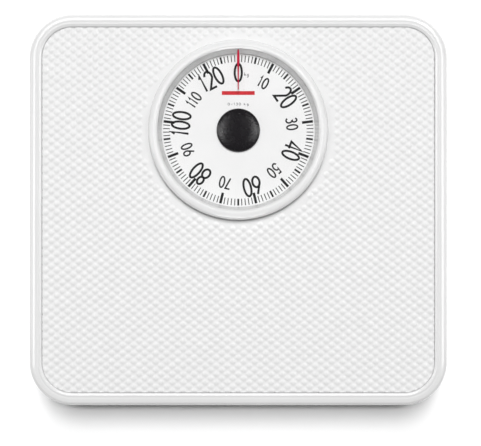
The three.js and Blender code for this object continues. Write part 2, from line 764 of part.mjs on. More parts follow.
addPart("adjuster_bracket", adjusterBracket(), steel);
addPart("bridge_plate", bridgePlate(), steel);
addPart("bridge_front_leg", bridgeFrontLeg(), steel);
addPart("crank_bracket", crankBracket(), steel);
addPart("crank_pin", crankPin(), springSteel);
addPart("bell_crank", bellCrank(), steel);
addPart("rack", rack(), steel);
addPart("rack_spring", rackSpring(), springSteel);
addPart("rack_guide", rackGuide(), brass);
addPart("dial_bush", dialBush(), brass);
addPart("pinion_shaft", pinionShaft(), brass);
addPart("dial_hub", dialHub(), nylon);
addPart("dial_disc", dialDisc(), dialWhite);
addPart("hub_cap", hubCap(), black);
addPart("platform_shell", platformShell(), white);
addPart("mat", mat(), matWhite);
addPart("bezel_ring", bezelRing(), white);
addPart("bezel_retainer", bezelRetainer(), nylon);
addPart("lens", lens(), clear);
addPart("pointer", pointer(), red);

export default scale;
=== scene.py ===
import json
import math

import bmesh
import bpy
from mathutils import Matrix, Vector


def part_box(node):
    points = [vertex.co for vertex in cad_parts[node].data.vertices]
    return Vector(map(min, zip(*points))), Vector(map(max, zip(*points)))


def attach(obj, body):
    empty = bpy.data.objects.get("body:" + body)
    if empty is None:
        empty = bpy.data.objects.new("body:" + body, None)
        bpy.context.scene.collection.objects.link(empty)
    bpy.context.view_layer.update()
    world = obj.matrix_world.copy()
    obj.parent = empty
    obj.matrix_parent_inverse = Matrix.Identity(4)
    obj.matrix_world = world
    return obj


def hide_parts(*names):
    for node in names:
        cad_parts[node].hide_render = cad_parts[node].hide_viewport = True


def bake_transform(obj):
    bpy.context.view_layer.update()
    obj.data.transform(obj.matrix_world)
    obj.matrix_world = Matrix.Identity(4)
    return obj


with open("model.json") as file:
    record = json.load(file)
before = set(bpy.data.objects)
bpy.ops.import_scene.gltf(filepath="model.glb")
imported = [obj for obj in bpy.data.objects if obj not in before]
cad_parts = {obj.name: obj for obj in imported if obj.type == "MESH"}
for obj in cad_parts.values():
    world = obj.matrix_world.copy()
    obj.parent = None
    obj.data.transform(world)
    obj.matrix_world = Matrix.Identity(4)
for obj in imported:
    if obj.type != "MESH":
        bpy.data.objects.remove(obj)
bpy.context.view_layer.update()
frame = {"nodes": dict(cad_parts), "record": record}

MM = 0.001  # the shapes below are worked out in millimetres and made in metres


def box_mm(node):
    """A CAD node's lowest and highest corners, in millimetres."""
    low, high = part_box(node)
    return low / MM, high / MM


# ---- Sizes that the frame gives -----------------------------------------------------------------

SHELL_LOW, SHELL_HIGH = box_mm("platform_shell")
TRAY_LOW, TRAY_HIGH = box_mm("base_tray")
MAT_LOW, MAT_HIGH = box_mm("mat")
RING_LOW, RING_HIGH = box_mm("bezel_ring")
LENS_LOW, LENS_HIGH = box_mm("lens")
DIAL_LOW, DIAL_HIGH = box_mm("dial_disc")
CAP_LOW, CAP_HIGH = box_mm("hub_cap")
POINTER_LOW, POINTER_HIGH = box_mm("pointer")

DIAL_Y = (DIAL_LOW.y + DIAL_HIGH.y) / 2
DIAL_AXIS = (0, DIAL_Y)
SHEET = 1.2  # thickness of the pressed steel
SHELL_RADIUS = 29.0  # the platform's corners, in plan
TRAY_RADIUS = 21.0  # the tray's corners
FLOOR_TOP = MAT_LOW.z - 0.3  # the platform's recessed floor, which carries the mat
FLOOR_BOTTOM = FLOOR_TOP - SHEET
DIAL_HOLE = 56.2  # radius of the hole in that floor


# ---- Camera -------------------------------------------------------------------------------------

CAMERA_ABOVE = 650.0  # over the platform's rim, looking straight down
CAMERA_X, CAMERA_Y = 1.5, -8.8
CAMERA_SENSOR, CAMERA_LENS = 36.0, 72.85


def make_camera():
    data = bpy.data.cameras.new("camera")
    data.sensor_width = CAMERA_SENSOR
    data.lens = CAMERA_LENS
    data.clip_start = 0.01
    camera = bpy.data.objects.new("camera", data)
    camera.location = (CAMERA_X * MM, CAMERA_Y * MM, (SHELL_HIGH.z + CAMERA_ABOVE) * MM)
    bpy.context.scene.collection.objects.link(camera)
    bpy.context.scene.camera = camera


# ---- Materials ----------------------------------------------------------------------------------

RAMP_SPAN = (0.35, 0.65)  # the part of a noise's range that a tint spreads over


class Surface:
    """A node material built around one Principled shader."""

    def __init__(self, name, color, roughness, metallic=0.0):
        self.material = bpy.data.materials.new(name)
        self.material.use_nodes = True
        self.tree = self.material.node_tree
        self.shader = self.tree.nodes["Principled BSDF"]
        self.set("Base Color", (*color, 1.0))
        self.set("Roughness", roughness)
        self.set("Metallic", metallic)
        self.coordinates = self.tree.nodes.new("ShaderNodeTexCoord")

    def set(self, socket, value):
        self.shader.inputs[socket].default_value = value
        return self

    def link(self, output, socket):
        self.tree.links.new(output, socket)

    def mapped(self, scale):
        """Object coordinates stretched by a scale for each axis, for streaks."""
        mapping = self.tree.nodes.new("ShaderNodeMapping")
        mapping.inputs["Scale"].default_value = scale
        self.link(self.coordinates.outputs["Object"], mapping.inputs["Vector"])
        return mapping.outputs["Vector"]

    def noise(self, size_mm, detail=3.0, stretch=(1.0, 1.0, 1.0), roughness=0.5):
        """Noise whose blobs are about size_mm across."""
        node = self.tree.nodes.new("ShaderNodeTexNoise")
        node.inputs["Scale"].default_value = 1.0 / (size_mm * MM)
        node.inputs["Detail"].default_value = detail
        node.inputs["Roughness"].default_value = roughness
        self.link(self.mapped(stretch), node.inputs["Vector"])
        return node.outputs["Fac"]

    def tint(self, source, low, high):
        """Colours the surface from low to high by the source."""
        node = self.tree.nodes.new("ShaderNodeValToRGB")
        for element, place, color in zip(node.color_ramp.elements, RAMP_SPAN, (low, high)):
            element.position = place
            element.color = (*color, 1.0)
        self.link(source, node.inputs["Fac"])
        self.link(node.outputs["Color"], self.shader.inputs["Base Color"])
        return self

    def vary_roughness(self, source, low, high):
        """Moves the roughness between low and high by the source."""
        node = self.tree.nodes.new("ShaderNodeMapRange")
        node.inputs["To Min"].default_value = low
        node.inputs["To Max"].default_value = high
        self.link(source, node.inputs["Value"])
        self.link(node.outputs["Result"], self.shader.inputs["Roughness"])
        return self

    def bump(self, source, height_mm, strength=1.0):
        node = self.tree.nodes.new("ShaderNodeBump")
        node.inputs["Strength"].default_value = strength
        node.inputs["Distance"].default_value = height_mm * MM
        self.link(source, node.inputs["Height"])
        self.link(node.outputs["Normal"], self.shader.inputs["Normal"])
        return self


def grey(value):
    return (value, value, value)


def shade(color, factor):
    return tuple(min(1.0, channel * factor) for channel in color)


def enamel(name, color, roughness):
    """Stove enamel: a glossy coat with a faint orange peel and a slight change of tone."""
    surface = Surface(name, color, roughness)
    surface.tint(surface.noise(35), shade(color, 0.993), shade(color, 1.007))
    surface.vary_roughness(surface.noise(9), roughness * 0.85, roughness * 1.2)
    surface.bump(surface.noise(1.6, detail=1.0), 0.004)
    surface.set("Coat Weight", 1.0).set("Coat Roughness", 0.08)
    return surface.material


def vinyl(name, color):
    """Soft white vinyl with a very fine moulded grain."""
    surface = Surface(name, color, 0.42)
    surface.tint(surface.noise(9), shade(color, 0.985), shade(color, 1.01))
    surface.vary_roughness(surface.noise(5), 0.24, 0.36)
    surface.bump(surface.noise(0.35, detail=2.0), 0.01)
    surface.set("Coat Weight", 0.3).set("Coat Roughness", 0.15)
    return surface.material


def moulded(name, color, roughness, grain_mm=0.5, depth_mm=0.008):
    """Injection-moulded plastic with a fine grain."""
    surface = Surface(name, color, roughness)
    surface.tint(surface.noise(18), shade(color, 0.985), shade(color, 1.015))
    surface.vary_roughness(surface.noise(4), roughness * 0.85, roughness * 1.25)
    surface.bump(surface.noise(grain_mm, detail=2.0), depth_mm)
    return surface.material


def white_plastic(name, color, roughness):
    """Glossy white plastic, which lets a little light through its edges."""
    surface = Surface(name, color, roughness)
    surface.tint(surface.noise(14), shade(color, 0.99), shade(color, 1.008))
    surface.vary_roughness(surface.noise(6), roughness * 0.85, roughness * 1.2)
    surface.bump(surface.noise(1.2, detail=1.0), 0.003)
    surface.set("Subsurface Weight", 0.6).set("Subsurface Scale", 2.5 * MM)
    surface.set("Subsurface Radius", (1.0, 1.0, 1.0))
    surface.set("Coat Weight", 0.8).set("Coat Roughness", 0.08)
    return surface.material


def metal(name, color, roughness, streak=(1.0, 12.0, 12.0), size_mm=4.0):
    """Metal with fine streaks from rolling or turning."""
    surface = Surface(name, color, roughness, metallic=1.0)
    surface.tint(surface.noise(size_mm * 4), shade(color, 0.9), shade(color, 1.06))
    streaks = surface.noise(size_mm, detail=4.0, stretch=streak, roughness=0.7)
    surface.vary_roughness(streaks, roughness * 0.75, roughness * 1.35)
    surface.bump(streaks, 0.01, 0.6)
    return surface.material


def rubber(name, color):
    """Dull rubber with a coarse grain."""
    surface = Surface(name, color, 0.75)
    surface.tint(surface.noise(3), shade(color, 0.8), shade(color, 1.3))
    surface.vary_roughness(surface.noise(2), 0.65, 0.85)
    surface.bump(surface.noise(0.3, detail=3.0), 0.03)
    return surface.material


def print_ink(name, color):
    """Screen-printed ink: flat colour whose density wavers a little."""
    surface = Surface(name, color, 0.5)
    surface.tint(surface.noise(1.5), shade(color, 0.9), shade(color, 1.15))
    surface.vary_roughness(surface.noise(0.8), 0.45, 0.6)
    return surface.material


def clear_plastic(name):
    """The lens: clear, so that light reaches the dial, with a gloss on top."""
    surface = Surface(name, grey(0.05), 0.04)
    surface.vary_roughness(surface.noise(12), 0.03, 0.07)
    surface.set("Alpha", 0.04).set("Specular IOR Level", 1.0)
    return surface.material


ENAMEL = enamel("platform_enamel", grey(0.68), 0.2)
BASE_ENAMEL = enamel("base_enamel", grey(0.66), 0.35)
VINYL = vinyl("mat_vinyl", grey(0.7))
BEZEL = white_plastic("bezel_plastic", grey(0.7), 0.2)
DIAL_FACE = moulded("dial_face", grey(0.92), 0.5, grain_mm=0.25, depth_mm=0.004)
CAP_PLASTIC = moulded("cap_plastic", (0.006, 0.005, 0.0065), 0.26, grain_mm=0.6, depth_mm=0.003)
NYLON = moulded("black_nylon", (0.045, 0.045, 0.05), 0.45, grain_mm=0.4, depth_mm=0.015)
RED = moulded("pointer_red", (0.56, 0.012, 0.05), 0.35, depth_mm=0.003)
INK = print_ink("black_ink", (0.012, 0.012, 0.013))
GREY_INK = print_ink("grey_ink", (0.1, 0.1, 0.11))
RED_INK = print_ink("red_ink", (0.62, 0.03, 0.04))
CLEAR = clear_plastic("lens_clear")
RUBBER = rubber("foot_rubber", (0.028, 0.028, 0.029))
STRIP_STEEL = metal("strip_steel", (0.60, 0.61, 0.62), 0.32)
LEVER_STEEL = metal("lever_steel", (0.55, 0.56, 0.57), 0.3, streak=(6.0, 1.0, 12.0))
PIN_STEEL = metal("pin_steel", (0.52, 0.53, 0.54), 0.2, streak=(20.0, 1.0, 1.0), size_mm=2.0)
SPRING_WIRE = metal("spring_wire", (0.42, 0.43, 0.45), 0.25, streak=(3.0, 3.0, 3.0), size_mm=1.0)
BRASS = metal("brass", (0.72, 0.52, 0.20), 0.24, streak=(2.0, 2.0, 14.0), size_mm=2.0)


# ---- Mesh helpers -------------------------------------------------------------------------------

PER_CORNER = 20  # steps of a rounded rectangle's corner
PER_SIDE = 20  # and of its straight sides
SAME_PLACE = 1e-7  # metres between vertices that are one


def add_piece(name, verts, faces, material, body, slot, replaces=(), sharp=35.0):
    """Makes a mesh piece from millimetres, rides it on its body and hides the CAD nodes it
    replaces.
    Edges steeper than `sharp` degrees stay sharp."""
    mesh = bpy.data.meshes.new(name)
    mesh.from_pydata([(x * MM, y * MM, z * MM) for x, y, z in verts], [], faces)
    clean = bmesh.new()
    clean.from_mesh(mesh)
    bmesh.ops.remove_doubles(clean, verts=clean.verts, dist=SAME_PLACE)
    bmesh.ops.dissolve_degenerate(clean, edges=clean.edges, dist=SAME_PLACE)
    bmesh.ops.recalc_face_normals(clean, faces=clean.faces)
    clean.to_mesh(mesh)
    clean.free()
    for polygon in mesh.polygons:
        polygon.use_smooth = True
    mesh.set_sharp_from_angle(angle=math.radians(sharp))
    mesh.materials.append(material)
    piece = bpy.data.objects.new(name, mesh)
    bpy.context.scene.collection.objects.link(piece)
    if body:
        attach(piece, body)
    if replaces:
        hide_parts(*replaces)
    return piece


class Build:
    """Vertices and faces collected from several shapes, all in millimetres."""

    def __init__(self):
        self.verts = []
        self.faces = []

    def add(self, verts, faces):
        base = len(self.verts)
        self.verts.extend(verts)
        self.faces.extend(tuple(base + i for i in face) for face in faces)
        return self


def smooth_curve(points, steps=4):
    """A Catmull-Rom curve through 2-D points."""
    padded = [points[0], *points, points[-1]]
    out = []
    for before, a, b, after in zip(padded, padded[1:], padded[2:], padded[3:]):
        for i in range(steps):
            t = i / steps
            out.append(tuple(
                0.5 * (2 * a[k] + (b[k] - before[k]) * t
                       + (2 * before[k] - 5 * a[k] + 4 * b[k] - after[k]) * t * t
                       + (3 * a[k] - before[k] - 3 * b[k] + after[k]) * t ** 3)
                for k in (0, 1)
            ))
    return [*out, points[-1]]


def arc(cx, cy, rx, ry, start, end, steps=12):
    """Points of an elliptical arc, with angles in degrees."""
    angles = [math.radians(start + (end - start) * i / steps) for i in range(steps + 1)]
    return [(cx + rx * math.cos(a), cy + ry * math.sin(a)) for a in angles]


def turned(profile, center, segments, radius_at=None):
    """A (radius, z) profile turned about an upright axis. A point on the axis becomes one vertex,
    and `radius_at` may change a radius by its angle."""
    closed = profile[0][0] > 0
    verts = []
    rows = []
    for radius, z in profile:
        if radius == 0:
            rows.append([len(verts)] * segments)
            verts.append((*center, z))
            continue
        rows.append(list(range(len(verts), len(verts) + segments)))
        for i in range(segments):
            angle = 2 * math.pi * i / segments
            r = radius_at(radius, angle) if radius_at else radius
            verts.append((center[0] + r * math.cos(angle), center[1] + r * math.sin(angle), z))
    faces = []
    for a, b in zip(rows, rows[1:] + rows[:1] if closed else rows[1:]):
        for i in range(segments):
            j = (i + 1) % segments
            face = tuple(dict.fromkeys((a[i], a[j], b[j], b[i])))
            if len(face) > 2:
                faces.append(face)
    return verts, faces


def rounded_ring(half_x, half_y, radius, inset, z):
    """A level rounded rectangle, `inset` in from its full size, counter-clockwise."""
    ring = []
    corner = radius - inset
    for quarter, (sx, sy) in enumerate(((1, 1), (-1, 1), (-1, -1), (1, -1))):
        for i in range(PER_CORNER + 1):
            angle = (quarter + i / PER_CORNER) * math.pi / 2
            ring.append((
                sx * (half_x - radius) + corner * math.cos(angle),
                sy * (half_y - radius) + corner * math.sin(angle),
                z,
            ))
        x, y, _ = ring[-1]
        run = 2 * (half_x - radius if quarter % 2 == 0 else half_y - radius)
        step_x, step_y = ((-1, 0), (0, -1), (1, 0), (0, 1))[quarter]
        for i in range(1, PER_SIDE):
            ring.append((x + step_x * run * i / PER_SIDE, y + step_y * run * i / PER_SIDE, z))
    return ring


def joined_rings(rings, closed):
    """Rings of equal length joined by quads, the last one to the first if closed."""
    count = len(rings[0])
    verts = [vertex for ring in rings for vertex in ring]
    faces = []
    for row in range(len(rings) if closed else len(rings) - 1):
        a = row * count
        b = (row + 1) % len(rings) * count
        for i in range(count):
            j = (i + 1) % count
            faces.append((a + i, a + j, b + j, b + i))
    return verts, faces


def block(x, y, z):
    """A plain block given by its ranges, for lugs and tabs."""
    verts = [(a, b, c) for a in x for b in y for c in z]
    faces = [(0, 1, 3, 2), (4, 6, 7, 5), (0, 4, 5, 1), (2, 3, 7, 6), (0, 2, 6, 4), (1, 5, 7, 3)]
    return verts, faces


def tube_along(path, radius, sides):
    """A round tube along 3-D points, with flat ends."""
    points = [Vector(p) for p in path]
    verts = []
    normal = None
    for i, point in enumerate(points):
        tangent = (points[min(i + 1, len(points) - 1)] - points[max(i - 1, 0)]).normalized()
        if normal is None:
            normal = tangent.orthogonal().normalized()
        normal = (normal - tangent * normal.dot(tangent)).normalized()
        side = tangent.cross(normal)
        for k in range(sides):
            angle = 2 * math.pi * k / sides
            outward = math.cos(angle) * normal + math.sin(angle) * side
            verts.append(tuple(point + radius * outward))
    faces = [tuple(range(sides - 1, -1, -1))]
    for row in range(len(points) - 1):
        for k in range(sides):
            j = (k + 1) % sides
            a = row * sides
            faces.append((a + k, a + j, a + sides + j, a + sides + k))
    faces.append(tuple(range(len(verts) - sides, len(verts))))
    return verts, faces


# ---- Platform -----------------------------------------------------------------------------------

def round_the_dial(ring, radius, z):
    """A circle round the dial with one point for each point of the ring, at the same bearing."""
    circle = []
    for x, y, _ in ring:
        bearing = math.atan2(y - DIAL_Y, x)
        circle.append((radius * math.cos(bearing), DIAL_Y + radius * math.sin(bearing), z))
    return circle


def spring_lug(side):
    """The lug under the floor that a hold-down spring hooks on to."""
    low, high = box_mm(f"hold_down_spring_{side}")
    middle = (low.x + high.x) / 2
    half_width, lug_bottom = 3, 37.0
    return block(
        (middle - half_width, middle + half_width),
        (-SHEET / 2, SHEET / 2),
        (lug_bottom, FLOOR_BOTTOM + 0.2),
    )


def platform():
    """The pressed platform: a rolled rim with a shallow valley and an inner bead, a recessed floor
    with the dial's hole, and a skirt with a hemmed edge."""
    top = SHELL_HIGH.z
    bottom = SHELL_LOW.z
    # Every profile point is an inset from the outer edge and a height.
    rim = smooth_curve([
        (0.0, 40.2), (0.1, 41.5), (0.4, 42.4), (0.9, 43.15), (1.6, top - 0.75),
        (2.4, top - 0.4), (3.0, top - 0.29), (3.7, top - 0.2), (4.4, top - 0.13),
        (5.0, top - 0.15), (5.6, top - 0.24), (6.1, top - 0.15), (6.6, top - 0.02),
        (7.0, top - 0.08), (7.6, top - 0.3), (8.1, top - 0.48), (8.6, top - 0.8),
        (8.9, FLOOR_TOP),
    ], 3)
    hem = [
        (1.5, bottom + 0.5), (1.3, bottom + 0.1), (0.75, bottom), (0.2, bottom + 0.15),
        (0.0, bottom + 0.8),
    ]
    under = [
        (7.4, FLOOR_BOTTOM), (7.0, 42.6), (5.6, 42.9), (3.2, 43.1), (2.0, 42.7), (1.35, 41.4),
        (SHEET, 40.0), (SHEET, bottom + 1.2),
    ]

    def ring(inset, z):
        return rounded_ring(SHELL_HIGH.x, SHELL_HIGH.y, SHELL_RADIUS, inset, z)

    rings = [ring(*level) for level in [*hem, *rim]]
    rings.append(round_the_dial(rings[-1], DIAL_HOLE, FLOOR_TOP))
    rings.append(round_the_dial(rings[-2], DIAL_HOLE, FLOOR_BOTTOM))
    rings.extend(ring(*level) for level in under)
    build = Build().add(*joined_rings(rings, closed=True))
    for side in ("left", "right"):
        build.add(*spring_lug(side))
    return add_piece("platform_pressing", build.verts, build.faces, ENAMEL, "platform",
                     "platform_enamel", ["platform_shell"], sharp=50)


# ---- Mat ----------------------------------------------------------------------------------------

PEBBLE = {"column": 3.675, "row": 2.775, "half_x": 2.15, "half_y": 1.95, "height": 0.4}
PEBBLE_LEVELS = ((1.0, 0.0), (0.76, 0.7))  # size and height of each level, as shares
PEBBLE_SHIFT = 1.2  # of the lattice, towards the rear
MAT_TOP = MAT_HIGH.z - PEBBLE["height"]  # between the pebbles
MAT_EDGE = 9.0  # from the platform's outer edge
MAT_HOLE = 59.95  # radius of the mat's hole, which the ring fills
PLAIN_BAND = 64.6  # no pebble's middle is nearer to the dial's middle than this


def inside_mat(x, y):
    """A point of the mat and False, or the nearest point of its edge and True for one outside."""
    core_x = SHELL_HIGH.x - SHELL_RADIUS
    core_y = SHELL_HIGH.y - SHELL_RADIUS
    corner = SHELL_RADIUS - MAT_EDGE
    near_x = max(-core_x, min(core_x, x))
    near_y = max(-core_y, min(core_y, y))
    away = math.hypot(x - near_x, y - near_y)
    if away > corner:
        x = near_x + (x - near_x) * corner / away
        y = near_y + (y - near_y) * corner / away
        return x, y, True
    from_dial = math.hypot(x, y - DIAL_Y)
    if from_dial < MAT_HOLE:
        scale = MAT_HOLE / max(from_dial, 1e-6)
        return x * scale, DIAL_Y + (y - DIAL_Y) * scale, True
    return x, y, False


def pebble_cell():
    """Twelve points round one cell of the staggered lattice, counter-clockwise from +X."""
    column, row = PEBBLE["column"], PEBBLE["row"]
    reach = (column ** 2 + row ** 2) / 2
    side = reach / column
    shoulder = (reach - row ** 2) / column
    corners = [
        (side, 0), (shoulder, row), (-shoulder, row),
        (-side, 0), (-shoulder, -row), (shoulder, -row),
    ]
    points = []
    for a, b in zip(corners, corners[1:] + corners[:1]):
        points.append(a)
        points.append(((a[0] + b[0]) / 2, (a[1] + b[1]) / 2))
    return points


def pebbled_mat():
    """The mat's upper surface, open below: cells with one oval pebble each, plain by the ring."""
    column, row = PEBBLE["column"], PEBBLE["row"]
    cell = pebble_cell()
    bearings = [math.atan2(y / PEBBLE["half_y"], x / PEBBLE["half_x"]) for x, y in cell]
    count = len(cell)
    verts, faces, known = [], [], {}

    def vertex(x, y, z):
        x, y, _ = inside_mat(x, y)
        key = (round(x, 3), round(y, 3), round(z, 3))
        if key not in known:
            known[key] = len(verts)
            verts.append((x, y, z))
        return known[key]

    def add_face(*corners):
        face = tuple(dict.fromkeys(corners))
        if len(face) > 2:
            faces.append(face)

    def add_pebble(x, y, edge):
        """A crowned dome on one cell, whose edge is given."""
        inner = edge
        for size, height in PEBBLE_LEVELS:
            outer = inner
            inner = [
                vertex(
                    x + size * PEBBLE["half_x"] * math.cos(a),
                    y + size * PEBBLE["half_y"] * math.sin(a),
                    MAT_TOP + height * PEBBLE["height"],
                )
                for a in bearings
            ]
            for k in range(count):
                n = (k + 1) % count
                add_face(outer[k], outer[n], inner[n], inner[k])
        crown = vertex(x, y, MAT_TOP + PEBBLE["height"])
        for k in range(count):
            add_face(inner[k], inner[(k + 1) % count], crown)

    columns = int(SHELL_HIGH.x / column) + 2
    rows = int(SHELL_HIGH.y / row) + 2
    for i in range(-columns, columns + 1):
        for j in range(-rows, rows + 1):
            x, y = i * column, j * row + PEBBLE_SHIFT
            around = [(x + dx, y + dy) for dx, dy in cell]
            if (i + j) % 2 or all(inside_mat(*point)[2] for point in around):
                continue
            edge = [vertex(px, py, MAT_TOP) for px, py in around]
            if math.hypot(x, y - DIAL_Y) < PLAIN_BAND:
                add_face(*edge)
            else:
                add_pebble(x, y, edge)
    return add_piece("mat_pebbled", verts, faces, VINYL, "platform", "mat", ["mat"], sharp=80)


# ---- Bezel, lens and pointer --------------------------------------------------------------------

def bezel():
    """The moulded ring: a rounded shoulder outside, a crowned top, and a sloping wall inside with
    the groove that holds the lens."""
    top = RING_HIGH.z
    seat = RING_LOW.z + 4.3  # where the flange rests, round the hole in the floor
    groove = LENS_HIGH.x + 0.3
    lip = LENS_HIGH.x - 0.9
    outside = smooth_curve([
        (60.0, seat), (60.0, seat + 1.2), (59.8, top - 4.0), (59.4, top - 2.6),
        (58.8, top - 1.6), (58.1, top - 0.95), (57.2, top - 0.45), (56.2, top - 0.12),
        (55.4, top), (54.8, top - 0.1), (54.3, top - 0.4), (lip, LENS_HIGH.z + 0.2),
    ])
    profile = [
        (54.8, RING_LOW.z), (55.8, RING_LOW.z), (55.8, seat), *outside,
        (groove, LENS_HIGH.z + 0.2), (groove, LENS_LOW.z - 0.2), (lip, LENS_LOW.z - 0.2),
        (lip - 0.15, LENS_LOW.z - 0.6), (51.2, 44.2), (51.5, 44.0), (54.8, 44.0),
    ]
    return add_piece("bezel_moulding", *turned(profile, DIAL_AXIS, 192), BEZEL, "platform",
                     "bezel", ["bezel_ring"])


def lens():
    """The clear disc, with small chamfers on its edge."""
    radius = (LENS_HIGH.x - LENS_LOW.x) / 2
    low, high = LENS_LOW.z, LENS_HIGH.z
    profile = [
        (0, low), (radius - 0.2, low), (radius, low + 0.2),
        (radius, high - 0.2), (radius - 0.2, high), (0, high),
    ]
    add_piece("lens_disc", *turned(profile, DIAL_AXIS, 144), CLEAR, "platform", "lens", ["lens"])


def extruded(outline, low, high):
    """A flat outline given a thickness."""
    count = len(outline)
    verts = [(x, y, low) for x, y in outline] + [(x, y, high) for x, y in outline]
    faces = [tuple(range(count - 1, -1, -1)), tuple(range(count, 2 * count))]
    faces += [(i, (i + 1) % count, count + (i + 1) % count, count + i) for i in range(count)]
    return verts, faces


def pointer():
    """The needle: a long thin shank, a swelling over the scale marks and a point under the lip."""
    tip = POINTER_LOW.y
    root = POINTER_HIGH.y
    right = smooth_curve([
        (0.3, tip), (0.38, tip + 6), (0.46, tip + 13), (0.7, tip + 17.5), (0.85, tip + 20.5),
        (0.7, tip + 23.5), (0.45, root - 0.6), (0.15, root),
    ])
    outline = right + [(-x, y) for x, y in reversed(right)]
    add_piece("pointer_needle", *extruded(outline, POINTER_LOW.z, POINTER_HIGH.z), RED,
              "platform", "pointer", ["pointer"], sharp=60)


# ---- Dial ---------------------------------------------------------------------------------------

CAPACITY = 130  # kilograms in one turn
MARK_OUTER = 50.3  # radius of the marks' outer ends
MARKS = ((10, 7.3, 1.75), (5, 4.5, 1.3), (1, 4.5, 0.6))  # every so many kilograms, length, width
LARGE_NUMBER = {"radius": 38.7, "height": 13.3, "width": 6.2, "line": 1.45, "gap": 0.2}
SMALL_NUMBER = {"radius": 36.1, "height": 8.3, "width": 4.1, "line": 1.05, "gap": 0.35}
UNIT_SIGN = {"radius": 37.9, "height": 2.6, "width": 1.6, "line": 0.3, "gap": 0.25}
RANGE_LINE = {"radius": 17.6, "height": 1.8, "width": 1.5, "line": 0.28, "gap": 0.5}
BAR = {"radius": 25.0, "half_length": 11.0, "width": 2.6}
INK_DEPTH = 0.03


def dial_disc():
    """The dial's plate, with its hole for the hub and softened edges."""
    radius = (DIAL_HIGH.x - DIAL_LOW.x) / 2
    low, high = DIAL_LOW.z, DIAL_HIGH.z
    hole = 1.7
    profile = [
        (hole, low), (radius - 0.3, low), (radius, low + 0.25),
        (radius, high - 0.25), (radius - 0.3, high), (hole, high),
    ]
    add_piece("dial_plate", *turned(profile, DIAL_AXIS, 180), DIAL_FACE, "dial", "dial_face",
              ["dial_disc"])


def hub_cap():
    """The low black dome at the dial's middle."""
    radius = (CAP_HIGH.x - CAP_LOW.x) / 2
    low, high = CAP_LOW.z, CAP_HIGH.z
    side = low + 1.0
    dome = [(radius * x, side + (high - side) * y) for x, y in arc(0, 0, 1, 1, 12, 90, 16)]
    dome[-1] = (0, high)
    profile = [(0, low), (radius - 0.3, low), (radius, low + 0.3), (radius, side), *dome]
    return add_piece("hub_cap_dome", *turned(profile, DIAL_AXIS, 128), CAP_PLASTIC, "dial",
                     "hub_cap", ["hub_cap"], sharp=50)


def stroke(points, width, closed=False):
    """A flat band of constant width along 2-D points, as a thin solid on the dial."""
    if closed:
        points = points[:-1]
    count = len(points)
    sides = []
    for i, (x, y) in enumerate(points):
        before = points[i - 1] if closed or i else points[i]
        after = points[(i + 1) % count] if closed or i < count - 1 else points[i]
        into = Vector((x - before[0], y - before[1]))
        out = Vector((after[0] - x, after[1] - y))
        into = into.normalized() if into.length else out.normalized()
        out = out.normalized() if out.length else into
        along = (into + out).normalized() if (into + out).length > 1e-6 else out
        miter = min(1.0 / max(along.dot(out), 0.3), 2.2)
        across = Vector((-along.y, along.x)) * width / 2 * miter
        sides.append(((x + across.x, y + across.y), (x - across.x, y - across.y)))
    low, high = DIAL_HIGH.z - 0.01, DIAL_HIGH.z + INK_DEPTH
    verts = [(*p, z) for left, right in sides for p in (left, right) for z in (low, high)]
    faces = []
    for i in range(count if closed else count - 1):
        a = 4 * i
        b = 4 * ((i + 1) % count)
        faces += [
            (a + 1, b + 1, b + 3, a + 3), (a, a + 2, b + 2, b),
            (a, b, b + 1, a + 1), (a + 2, a + 3, b + 3, b + 2),
        ]
    if not closed:
        last = 4 * (count - 1)
        faces += [(0, 1, 3, 2), (last, last + 2, last + 3, last + 1)]
    return verts, faces


# Each glyph as strokes in a box one unit wide and high, with whether each stroke is closed.
ROUND_TOP = arc(0.5, 0.7, 0.5, 0.3, 165, -28)
LOWER_BOWL = arc(0.44, 0.275, 0.52, 0.275, 80, -150)
GLYPHS = {
    "0": [(arc(0.5, 0.5, 0.5, 0.5, 0, 360, 32), True)],
    "1": [([(0.1, 0.78), (0.55, 1.0), (0.55, 0.0)], False)],
    "2": [([*ROUND_TOP, (0.02, 0.0), (1.0, 0.0)], False)],
    "3": [([*arc(0.46, 0.77, 0.42, 0.23, 155, -80), *LOWER_BOWL], False)],
    "4": [([(0.74, 0.0), (0.74, 1.0), (0.0, 0.27), (1.0, 0.27)], False)],
    "5": [([(0.92, 1.0), (0.26, 1.0), (0.14, 0.56), *arc(0.42, 0.33, 0.54, 0.33, 112, -150)],
           False)],
    "6": [(arc(0.5, 0.3, 0.5, 0.3, 0, 360, 28), True), ([(0.62, 1.0), (0.1, 0.46)], False)],
    "7": [([(0.0, 1.0), (1.0, 1.0), (0.32, 0.0)], False)],
    "8": [(arc(0.5, 0.77, 0.4, 0.23, 0, 360, 24), True),
          (arc(0.5, 0.27, 0.5, 0.27, 0, 360, 28), True)],
    "9": [(arc(0.5, 0.7, 0.5, 0.3, 0, 360, 28), True), ([(0.38, 0.0), (0.9, 0.54)], False)],
    "k": [([(0.15, 1.0), (0.15, 0.0)], False), ([(0.8, 0.62), (0.2, 0.28)], False),
          ([(0.4, 0.4), (0.85, 0.0)], False)],
    "g": [(arc(0.45, 0.32, 0.36, 0.3, 0, 360, 16), True),
          ([(0.81, 0.62), (0.81, -0.12), *arc(0.46, -0.14, 0.35, 0.2, 0, -140, 6)], False)],
    "-": [([(0.1, 0.45), (0.9, 0.45)], False)],
}
NARROW = {"1": 0.62, " ": 0.5}  # shares of the full width


